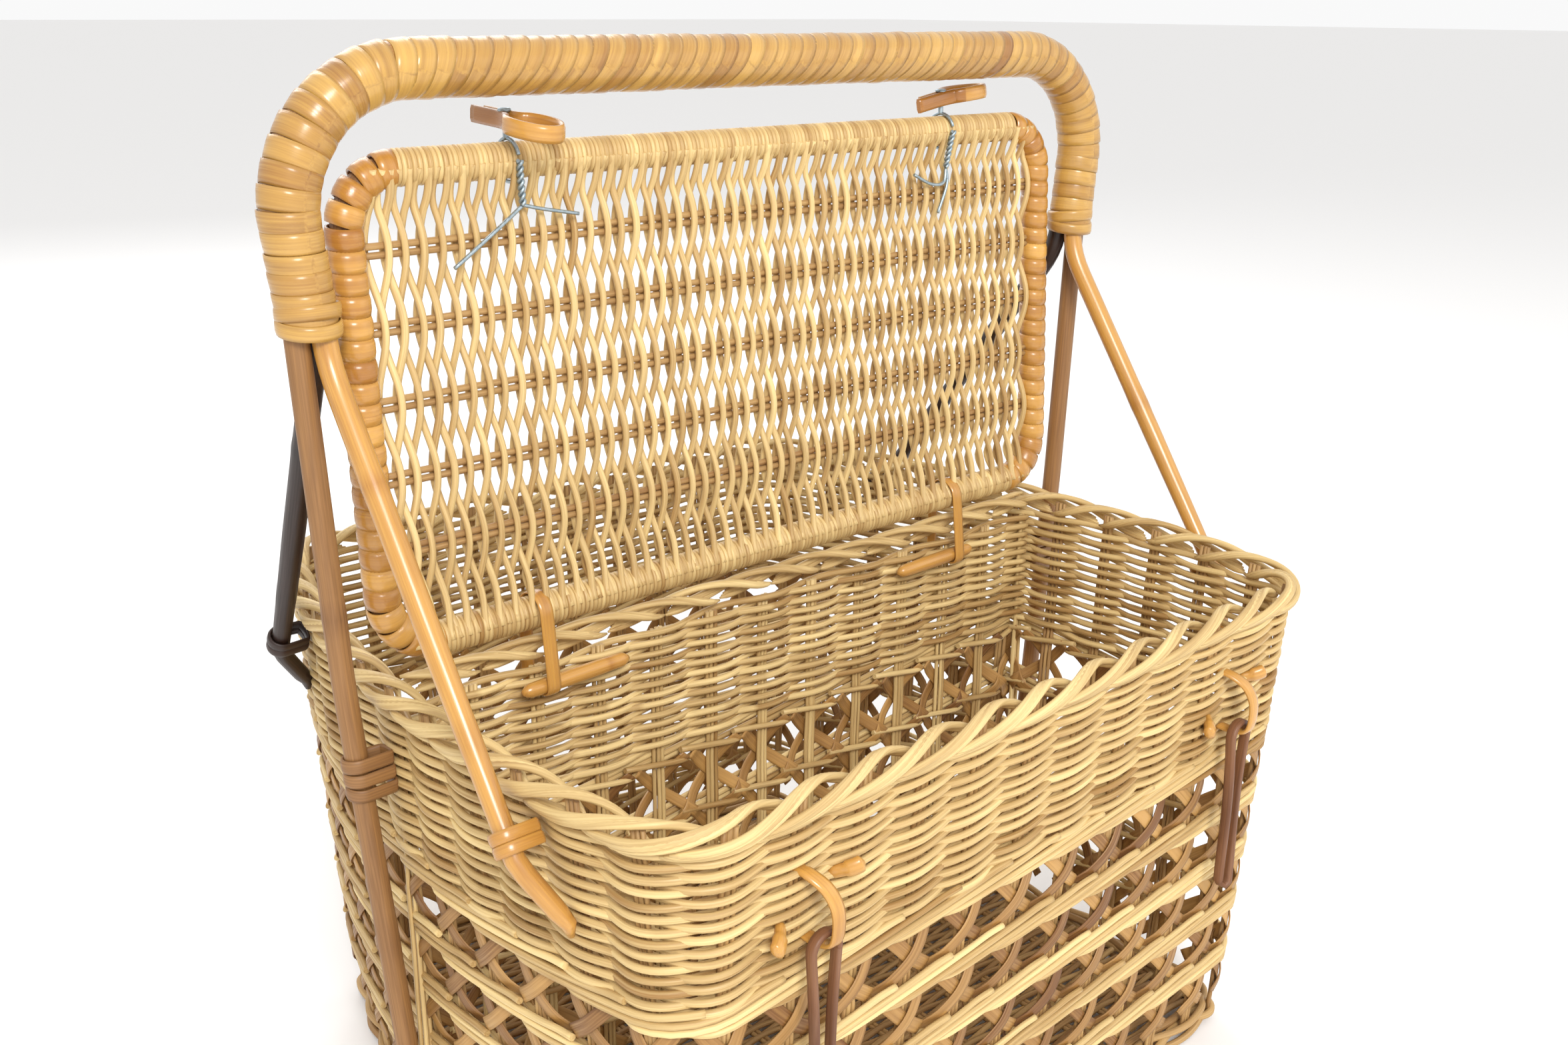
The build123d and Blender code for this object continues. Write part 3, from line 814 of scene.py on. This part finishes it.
def build_handle_wrapping():
    line, gap, radius = handle_line()
    turns = int(gap[-1] / handle_turn_pitch)
    steps = 36
    work = Work()
    for turn in range(turns):
        angle = np.linspace(0, 2 * math.pi, steps, endpoint=False)
        base = (turn + 0.5) * handle_turn_pitch + rng.normal(0, 0.25 * MM)
        on_bar = np.clip((min(base, gap[-1] - base) - slant_start) / slant_fade, 0, 1)
        slant = radius * (handle_turn_slant * on_bar + leg_turn_slant)
        place = np.clip(base + slant * np.sin(angle), 0, gap[-1] - 1e-6)
        centre = along_line(place, gap, line)
        ahead = along_line(place + 2 * MM, gap, line)
        behind = along_line(place - 2 * MM, gap, line)
        heading = unit(ahead - behind)
        front = np.array([0, -1.0, 0])
        outward = unit(np.cross(np.broadcast_to(front, heading.shape), heading))
        away = outward * np.sin(angle)[:, None] + front * np.cos(angle)[:, None]
        lift = radius - handle_strip_inset + rng.normal(0, 0.12 * MM)
        lift = lift + 0.15 * MM * np.sin(3 * angle + 0.6)
        tilt = unit(away - 0.07 * heading)
        stained = rng.uniform() < 0.07
        tone = rng.normal(0.52, 0.11) - (0.35 if stained else 0)
        work.lay(
            centre + away * np.asarray(lift)[:, None],
            tilt,
            handle_turn_pitch * (0.56 + 0.06 * (1 - on_bar)),
            handle_strip_half_thickness,
            tone=tone,
            closed=True,
            flat=0.8,
        )
    inside = slice(1, -1)
    # The core under the turns gets a dark tone (0.1): painted shade, so the grooves between the turns read
    # dark whatever the lighting.
    work.lay(line[inside], (0, -1.0, 0), radius - handle_core_inset, tone=0.1, sides=20)
    work.make("handle_wrapping", "basket", "glossy_cane", handle_peel, "handle_wrap")


def build_handle_bindings():
    for name in ("left", "right"):
        node = "handle_wrap_end_" + name
        low, high = box_of(node)
        centre = (low + high) / 2
        size = (high[1] - low[1]) / 2 - 0.8 * MM
        binding = Work()
        for turn, tip in ((-0.25, 0.12), (0.28, -0.10)):
            angle = np.linspace(0, 2 * math.pi, 30, endpoint=False)
            away = np.stack([np.cos(angle), np.sin(angle), np.zeros(30)], 1)
            route = centre + away * size
            route[:, 2] += turn * (high[2] - low[2]) + tip * size * np.sin(angle)
            binding.lay(route, away, binding_half_width, binding_half_thickness,
                        tone=rng.normal(0.5, 0.1), closed=True, flat=0.8)
        binding.make("handle_binding_" + name, "basket", "glossy_cane", handle_peel, node)


def tie_loop(work, centre, outward, along, depth, size, half_width, tone):
    """Closed strip that goes round a rod and back through the wall behind it."""
    outward, along = unit(outward), unit(along)
    across = np.cross(along, outward)
    angle = np.linspace(-math.pi / 2, math.pi / 2, 15)
    head = [centre + outward * math.cos(a) * size + across * math.sin(a) * size for a in angle]
    head_out = [outward * math.cos(a) + across * math.sin(a) for a in angle]
    tail = [centre - outward * depth + across * math.cos(a) * size * 0.9 - outward * math.sin(a) * 1.5 * MM
            for a in np.linspace(0, math.pi, 9)]
    tail_out = [across * math.cos(a) - outward * math.sin(a) for a in np.linspace(0, math.pi, 9)]
    work.lay(np.array(head + tail), np.array(head_out + tail_out), half_width, tie_half_thickness,
             tone=tone, closed=True, flat=0.75)


def build_ties():
    for name, side in (("left", -1), ("right", 1)):
        node = "post_lashing_" + name
        low, high = box_of(node)
        middle = (low[2] + high[2]) / 2
        work = Work()
        for turn in range(3):
            z = middle + (turn - 1) * lashing_turn_pitch
            centre = slice_centre("handle_cane_centre", z, side)
            along = (0, 0.10 * (turn - 1), 1.0)
            tie_loop(work, centre, (side, 0, 0), along, 12 * MM, cane_radius + 0.9 * MM,
                     lashing_half_width, rng.normal(0.5, 0.1))
        work.make("post_lashing_turns_" + name, "basket", "brown_cane", brown_cane, node)
        for place, cane, material, slot in (
            ("front", "handle_cane_front", honey, "brown_cane"),
            ("rear", "handle_cane_rear", dark_cane, "dark_cane"),
        ):
            node = f"brace_loop_{place}_{name}"
            low, high = box_of(node)
            middle = (low[2] + high[2]) / 2
            centre = slice_centre(cane, middle, side)
            upper = slice_centre(cane, middle + 9 * MM, side)
            work = Work()
            for turn in (-0.5, 0.5):
                spot = centre + unit(upper - centre) * turn * brace_tie_pitch
                tie_loop(work, spot, (side, 0, 0), upper - centre, 10 * MM, cane_radius + 0.8 * MM,
                         brace_tie_half_width, rng.normal(0.45, 0.1))
            work.make("brace_tie_" + place + "_" + name, "basket", slot, material, node)


# ---- the lid ----
def ring_round(work, centre, heading, size, half_width, thick, tone, lean, steps=22):
    """One turn round a rod."""
    heading = unit(heading)
    first = unit(np.cross(heading, lid.inner + 1e-3 * lid.up))
    second = np.cross(heading, first)
    angle = np.linspace(0, 2 * math.pi, steps, endpoint=False)
    away = np.cos(angle)[:, None] * first + np.sin(angle)[:, None] * second
    route = centre + away * size + heading * (lean * np.sin(angle))[:, None]
    work.lay(route, away, half_width, thick, tone=tone, closed=True)


def build_lid_end_turns():
    """Close turns of reed along the front and rear edges."""
    straight = lid.half_width - lid.corner_radius
    for name, s, node in (("front", lid.reach, "lid_front_edge_wrap"), ("rear", 0.0, "lid_rear_edge_wrap")):
        work = Work()
        for x in np.arange(-straight, straight, edge_turn_pitch):
            ring_round(work, lid.at(x, s, 0), (1.0, 0, 0), lid.rod_radius - 1.15 * MM,
                       edge_turn_radius, edge_turn_radius, rng.normal(0.5, 0.15), lean=1.0 * MM)
        work.make(f"lid_{name}_edge_turns", "lid", "reed", lid_straw, node)


def build_lid_side_turns():
    """Broad cane turns up each side and round its two corners."""
    corner = lid.corner_radius
    straight = lid.half_width - corner
    bend = np.linspace(0, math.pi / 2, 12)
    for name, side in (("left", -1), ("right", 1)):
        work = Work()
        low = [(side * (straight + corner * math.sin(a)), corner - corner * math.cos(a)) for a in bend]
        shoulder = lid.reach - corner
        high = [(side * (straight + corner * math.cos(a)), shoulder + corner * math.sin(a)) for a in bend]
        line = np.array(low + high)
        gap = np.concatenate([[0], np.cumsum(np.linalg.norm(np.diff(line, axis=0), axis=1))])
        turns = int(gap[-1] / side_turn_pitch)
        for turn in range(turns):
            place = (turn + 0.5) * gap[-1] / turns
            x, s = (np.interp(place, gap, line[:, k]) for k in range(2))
            x2, s2 = (np.interp(place + MM, gap, line[:, k]) for k in range(2))
            centre = lid.at(x, s, 0)
            ring_round(work, centre, lid.at(x2, s2, 0) - centre, lid.rod_radius - 0.95 * MM,
                       gap[-1] / turns * 0.55, side_turn_half_thickness, rng.normal(0.5, 0.17),
                       lean=0.9 * MM, steps=28)
        work.make("lid_side_turns_" + name, "lid", "glossy_cane", honey, "lid_side_wrap_" + name)


def build_lid_rod():
    """The bent rod that the edges are wound on."""
    rod = Work()
    corner = lid.corner_radius
    straight = lid.half_width - corner
    outline = []
    for x, s, start in ((straight, lid.reach - corner, 0), (-straight, lid.reach - corner, 90),
                        (-straight, corner, 180), (straight, corner, 270)):
        for a in np.radians(np.linspace(start, start + 90, 10)):
            outline.append(lid.at(x + corner * math.cos(a), s + corner * math.sin(a), 0))
    rod.lay(np.array(outline), lid.inner, lid_rod_radius, tone=0.4, closed=True, sides=12)
    rod.make("lid_rod", "lid", "brown_cane", brown_cane, "lid_frame")


def lid_stake_rows():
    low, high = box_of("lid_stakes")
    first = (low[2] - lid.hinge[2]) / lid.up[2] + 3 * MM
    last = (high[2] - lid.hinge[2]) / lid.up[2] - 3 * MM
    return np.linspace(first, last, 5)


def build_lid_weave():
    rows = lid_stake_rows()
    pitch = rows[1] - rows[0]
    stakes = Work()
    half = lid.half_width - 5 * MM
    for s in rows:
        for rod in (-1, 1):
            x = np.linspace(-half, half, 60)
            n = 0.2 * MM * np.cos(x * 200 + rod)
            route = lid.at(x, s + rod * lid_stake_step + rng.normal(0, 0.15 * MM), n)
            stakes.lay(route, lid.inner, lid_stake_radius, tone=rng.normal(0.45, 0.1))
    stakes.make("lid_stake_rods", "lid", "reed", stake_straw, "lid_stakes")
    weavers = Work()
    span = lid.half_width - lid.rod_radius - 1 * MM
    count = int(2 * span / lid_weaver_pitch)
    for weaver in range(count):
        x0 = -span + (weaver + 0.5) * 2 * span / count
        side = 1 if weaver % 2 else -1
        s = np.linspace(0, lid.reach, 92)
        turn = math.pi * (s - rows[0]) / pitch
        fade = np.clip(np.minimum(s, lid.reach - s) / (16 * MM), 0, 1)
        n = side * lid_swing * np.cos(turn) * fade ** 0.7
        face = (lid.rod_radius - 0.9 * MM) * (1 - fade) ** 1.3
        n = n * (1 - (1 - fade) ** 2) + face
        sway = side * lid_sway * np.cos(turn) * fade
        x = x0 + sway + rng.normal(0, 0.25 * MM) + 0.4 * MM * np.sin(s * 40 + weaver)
        tone = rng.normal(0.55, 0.17)
        weavers.lay(lid.at(x, s, n), lid.inner, lid_weaver_radius * rng.uniform(0.92, 1.1), tone=tone)
    weavers.make("lid_weavers", "lid", "reed", lid_straw, "lid_panel")


# ---- hinges, latches and thongs ----
def hull_loop(circles, count):
    """Closed route drawn tight round several circles in one plane."""
    angle = np.linspace(0, 2 * math.pi, count, endpoint=False)
    way = np.stack([np.cos(angle), np.sin(angle)], 1)
    reach = np.array([[c[0] * w[0] + c[1] * w[1] + c[2] for c in circles] for w in way])
    best = reach.argmax(1)
    return np.array([np.array(circles[b][:2]) + way[k] * circles[b][2] for k, b in enumerate(best)])


def even_loop(points, count):
    closed = np.vstack([points, points[:1]])
    gap = np.concatenate([[0], np.cumsum(np.linalg.norm(np.diff(closed, axis=0), axis=1))])
    place = np.linspace(0, gap[-1], count, endpoint=False)
    return np.stack([np.interp(place, gap, closed[:, k]) for k in range(points.shape[1])], 1)


def build_hinges():
    for name in ("left", "right"):
        low, high = box_of("hinge_loop_" + name)
        x = (low[0] + high[0]) / 2
        peg_low, peg_high = box_of("hinge_peg_" + name)
        peg = (peg_low + peg_high) / 2
        size = high[2] - hinge_strip_half_thickness - lid.hinge[2]
        circles = [
            (0.0, lid.hinge[2], size),
            (peg[1], peg[2], (peg_high[2] - peg_low[2]) / 2 + 0.8 * MM),
            (high[1] - 4 * MM, peg[2], 3.2 * MM),
        ]
        flat = even_loop(hull_loop(circles, 200), 60)
        middle = flat.mean(0)
        route = np.stack([np.full(60, x), flat[:, 0], flat[:, 1]], 1)
        ahead = np.roll(route, -1, 0) - np.roll(route, 1, 0)
        away = np.cross(unit(ahead), np.array([1.0, 0, 0]))
        away *= np.sign((away[:, 1:] * (flat - middle)).sum(1))[:, None]
        work = Work()
        work.lay(route, away, hinge_strip_half_width, hinge_strip_half_thickness,
                 tone=0.5, closed=True, flat=0.7)
        work.make("hinge_cane_loop_" + name, "basket", "glossy_cane", honey, "hinge_loop_" + name)
        build_hinge_peg(name, peg_low, peg_high)


def build_hinge_peg(name, low, high):
    middle = (low + high) / 2
    x = np.linspace(low[0], high[0], 30)
    share = (x - low[0]) / (high[0] - low[0])
    size = (high[2] - low[2]) / 2 * (0.86 + 0.14 * np.sin(math.pi * share))
    route = np.stack([x, np.full(30, middle[1]), middle[2] + 1.2 * MM * (share - 0.5)], 1)
    tone = 0.55 - 0.4 * np.exp(-((share - 0.8) / 0.03) ** 2)
    work = Work()
    work.lay(route, (0, -1.0, 0), size, tone=tone, sides=14, blunt=False)
    work.make("hinge_cane_peg_" + name, "basket", "glossy_cane", honey, "hinge_peg_" + name)


def build_latches():
    joints = {j["name"]: j for j in frame["joints"]}
    for name, side, turn, tilt in (("left", -1, -84, 9), ("right", 1, 4, -8)):
        joint = joints[f"toggle_{name}_turn"]
        pin = np.array(joint["pos_m"])
        up = unit(joint["axis"])
        right = np.array([1.0, 0, 0])
        front = np.cross(up, right)
        a = math.radians(turn)
        ahead = right * math.cos(a) + front * math.sin(a)
        across = np.cross(up, ahead)
        centre = sum(box_of("latch_toggle_" + name)) / 2
        level = pin + up * (np.dot(centre - pin, up) + toggle_lift)
        bend = np.linspace(-2.75, 2.75, 26)
        loop = [(17.0 * MM + 12.6 * MM * math.cos(b), 9.3 * MM * math.sin(b)) for b in bend]
        way = [(-18.5 * MM, -1.3 * MM), (-10 * MM, -1.4 * MM), (-1 * MM, -1.5 * MM)] + loop
        way += [(-1 * MM, 1.5 * MM), (-8 * MM, 1.5 * MM), (-14 * MM, 1.3 * MM)]
        flat = smooth_route(way, 90)
        droop = math.radians(tilt)
        along = ahead * math.cos(droop) - up * math.sin(droop)
        route = level + flat[:, :1] * along + flat[:, 1:] * across
        route = route + up * (0.6 * MM * np.sin(np.linspace(0, 9, 90)))[:, None]
        work = Work()
        level_up = np.cross(along, across)
        tone = 0.5 + 0.15 * np.sin(np.linspace(0, 6, 90)) - 0.9 * (np.arange(90) < 16)
        away = np.cross(level_up, unit(np.gradient(route, axis=0)))
        work.lay(route, away, toggle_half_height, toggle_half_thickness, tone=tone, flat=0.7)
        work.make("latch_cane_toggle_" + name, "toggle_" + name, "glossy_cane", honey, "latch_toggle_" + name)
        build_latch_wire(name, side, pin, up)


def build_latch_wire(name, side, pin, up):
    x = pin[0]
    size = lid.rod_radius + wire_radius + 0.2 * MM
    work = Work()
    angle = np.linspace(math.radians(-75), math.radians(200), 30)
    hoop = lid.at(x + np.zeros(30), lid.reach + size * np.cos(angle), size * np.sin(angle) * -1)
    work.lay(hoop, (1.0, 0, 0), wire_radius, sides=8)
    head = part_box("latch_wire_" + name)[1][2]
    top = head - pin[2] - 1.2 * MM + toggle_lift
    post = [lid.at(x, lid.reach + size - 0.5 * MM, 0.0), pin + up * top]
    bow = smooth_route([post[0], (post[0] + post[1]) / 2, post[1]], 12)
    work.lay(bow, (0, -1.0, 0), wire_radius * 1.6, sides=8)
    cap = np.array([post[1] + (1.9 * MM) * np.array([math.cos(a), math.sin(a), 0])
                    for a in np.linspace(0, 2 * math.pi, 14, endpoint=False)])
    work.lay(cap, up, wire_radius, closed=True, sides=8)
    t = np.linspace(0, 1, 50)
    start_n = lid.rod_radius + 1.3 * MM
    end_n = 5.2 * MM
    knot = (x + side * -2 * MM, lid.reach - twist_length, end_n)
    for strand in (0, math.pi):
        spin = t * 2 * math.pi * twist_turns + strand
        px = x + (knot[0] - x) * t + twist_offset * np.cos(spin)
        pn = start_n + (end_n - start_n) * t ** 0.7 + twist_offset * np.sin(spin)
        work.lay(lid.at(px, lid.reach - twist_length * t, pn), (1.0, 0, 0), wire_radius, sides=8)
    if side < 0:
        ends = [[(0, 0, 0), (-14, -9, 1.0), (-33, -21, 1.6)], [(0, 0, 0), (8, -2, 1.2), (24, -5, 2.2)]]
    else:
        hooked = [(0, 0, 0), (-3, -7, 1.0), (-12, -7, 1.2), (-24, -2, 1.8)]
        ends = [hooked, [(0, 0, 0), (0, -8, 0.6), (-7, -21, 1.2)]]
    for end in ends:
        way = [(knot[0] + p[0] * MM, knot[1] + p[1] * MM, knot[2] + p[2] * MM) for p in end]
        flat = smooth_route(way, 20)
        work.lay(lid.at(flat[:, 0], flat[:, 1], flat[:, 2]), lid.inner, wire_radius, sides=8)
    work.make("latch_twisted_wire_" + name, "lid", "galvanised_wire", wire, "latch_wire_" + name)


def build_staples_and_thongs():
    joints = {j["name"]: j for j in frame["joints"]}
    for name in ("left", "right"):
        low, high = box_of("front_staple_" + name)
        x = (low[0] + high[0]) / 2
        build_staple(name, x, low, high)
        build_staple_peg_ends(name, x)
        build_thong(name, x, np.array(joints[f"thong_{name}_swing"]["pos_m"]))


def build_staple(name, x, low, high):
    out_y, root_y = low[1] + 0.8 * MM, high[1]
    top, bottom = high[2] - 0.8 * MM, low[2] + 0.8 * MM
    way = [
        (x - 5.0 * MM, root_y, top + 1 * MM),
        (x - 3.6 * MM, root_y - 7 * MM, top - 0.5 * MM),
        (x - 0.8 * MM, out_y + 2.5 * MM, top - 5 * MM),
        (x + 1.6 * MM, out_y, top - 13 * MM),
        (x + 2.0 * MM, out_y + 0.3 * MM, bottom + 5 * MM),
        (x + 1.2 * MM, out_y + 2.6 * MM, bottom + 0.8 * MM),
        (x, root_y - 6 * MM, bottom),
        (x - 0.5 * MM, root_y, bottom + 0.3 * MM),
    ]
    route = smooth_route(way, 50)
    away = -np.cross(unit(np.gradient(route, axis=0)), np.array([1.0, 0, 0]))
    work = Work()
    work.lay(route, away, staple_half_width, staple_half_thickness, tone=0.6, flat=0.7)
    work.make("staple_cane_" + name, "basket", "glossy_cane", honey, "front_staple_" + name)


def build_staple_peg_ends(name, x):
    low, high = box_of("front_staple_pegs_" + name)
    work = Work()
    for side, z in ((1, high[2] - 4.6 * MM), (-1, low[2] + 4.6 * MM)):
        tip = np.array([x + side * 21 * MM, low[1] + 3.5 * MM, z + side * 1.5 * MM])
        root = np.array([x + side * 11 * MM, high[1] - 1 * MM, z - side * 3 * MM])
        route = smooth_route([root, (root * 0.4 + tip * 0.6) + np.array([0, -1.2 * MM, 0]), tip], 16)
        size = staple_peg_radius * np.array([0.8] * 6 + [1.0] * 7 + [0.93, 0.75, 0.42])
        work.lay(route, (0, -1.0, 0), size, size * 0.72, tone=0.6, sides=12, blunt=False)
    work.make("staple_peg_ends_" + name, "basket", "glossy_cane", honey, "front_staple_pegs_" + name)


def build_thong(name, x, axis):
    low, high = box_of("thong_" + name)
    strip = 1.5 * MM
    top_size = (high[0] - low[0]) / 2 - strip
    end_size = 2.6 * MM
    circles = [(0.0, high[2] - strip - top_size, top_size), (0.0, low[2] + strip + end_size, end_size)]
    flat = even_loop(hull_loop(circles, 300), 84)
    middle = flat.mean(0)
    drop = (high[2] - flat[:, 1]) / (high[2] - low[2])
    sway = 1.3 * MM * np.sin(drop * 4.2) * np.sign(flat[:, 0] + 1e-9)
    route = np.stack([x + flat[:, 0] + sway * 0.35, axis[1] + sway, flat[:, 1]], 1)
    heading = unit(np.roll(route, -1, 0) - np.roll(route, 1, 0))
    away = np.cross(heading, np.array([0, 1.0, 0]))
    inward = (away[:, 0] * flat[:, 0] + away[:, 2] * (flat[:, 1] - middle[1])) < 0
    away[inward] *= -1
    work = Work()
    tone = 0.45 + 0.2 * np.sin(drop * 9)
    work.lay(route, away, thong_half_width, thong_half_thickness, tone=tone, closed=True, flat=0.6)
    work.make("thong_leather_" + name, "thong_" + name, "thong_leather", leather, "thong_" + name)


# ---- floor, light and camera ----
def build_stage():
    mesh = bpy.data.meshes.new("floor")
    reach = 40.0
    corners = [(-reach, -reach, 0), (reach, -reach, 0), (reach, reach, 0), (-reach, reach, 0)]
    mesh.from_pydata(corners, [], [(0, 1, 2, 3)])
    floor = bpy.data.objects.new("floor", mesh)
    bpy.context.scene.collection.objects.link(floor)
    material = bpy.data.materials.new("pale_floor")
    material.use_nodes = True
    shader = material.node_tree.nodes["Principled BSDF"]
    shader.inputs["Base Color"].default_value = (0.86, 0.85, 0.84, 1)
    shader.inputs["Roughness"].default_value = 0.8
    mesh.materials.append(material)


def build_light():
    world = bpy.data.worlds.new("studio")
    bpy.context.scene.world = world
    world.use_nodes = True
    world.node_tree.nodes["Background"].inputs[0].default_value = (1.0, 1.0, 1.0, 1)
    world.node_tree.nodes["Background"].inputs[1].default_value = 0.95
    bpy.context.scene.view_settings.view_transform = "Standard"
    for name, place, size, power in (
        ("key", (-0.9, -1.7, 1.6), 0.7, 40),
        ("front_fill", (1.5, -1.8, 1.1), 1.6, 6),
        ("back", (0.6, 2.0, 1.8), 1.6, 22),
    ):
        lamp = bpy.data.lights.new(name, "AREA")
        lamp.size = size
        lamp.energy = power
        light = bpy.data.objects.new(name, lamp)
        light.location = place
        aim = Vector((0, 0, 0.25)) - Vector(place)
        light.rotation_euler = aim.to_track_quat("-Z", "Y").to_euler()
        bpy.context.scene.collection.objects.link(light)


def build_camera():
    """Camera off the left front corner, a little higher than the whole basket, looking down into it."""
    place = Vector((-0.4533, -0.5202, rim_top + 0.2485))
    heading, pitch, roll = math.radians(41.89), math.radians(18.34), math.radians(-0.44)
    level_ahead = math.cos(pitch)
    ahead = Vector((math.sin(heading) * level_ahead, math.cos(heading) * level_ahead, -math.sin(pitch)))
    level = Vector((math.cos(heading), -math.sin(heading), 0))
    down = ahead.cross(level)
    right = level * math.cos(roll) + down * math.sin(roll)
    up = -(down * math.cos(roll) - level * math.sin(roll))
    data = bpy.data.cameras.new("camera")
    data.lens = 35.96
    data.sensor_width = 36
    camera = bpy.data.objects.new("camera", data)
    camera.matrix_world = Matrix((
        (right.x, up.x, -ahead.x, place.x),
        (right.y, up.y, -ahead.y, place.y),
        (right.z, up.z, -ahead.z, place.z),
        (0, 0, 0, 1),
    ))
    bpy.context.scene.collection.objects.link(camera)
    bpy.context.scene.camera = camera


build_round_wall()
build_partition()
build_foot_and_base()
build_canes()
build_handle_wrapping()
build_handle_bindings()
build_ties()
build_lid_end_turns()
build_lid_side_turns()
build_lid_rod()
build_lid_weave()
build_hinges()
build_latches()
build_staples_and_thongs()
build_stage()
build_light()
build_camera()
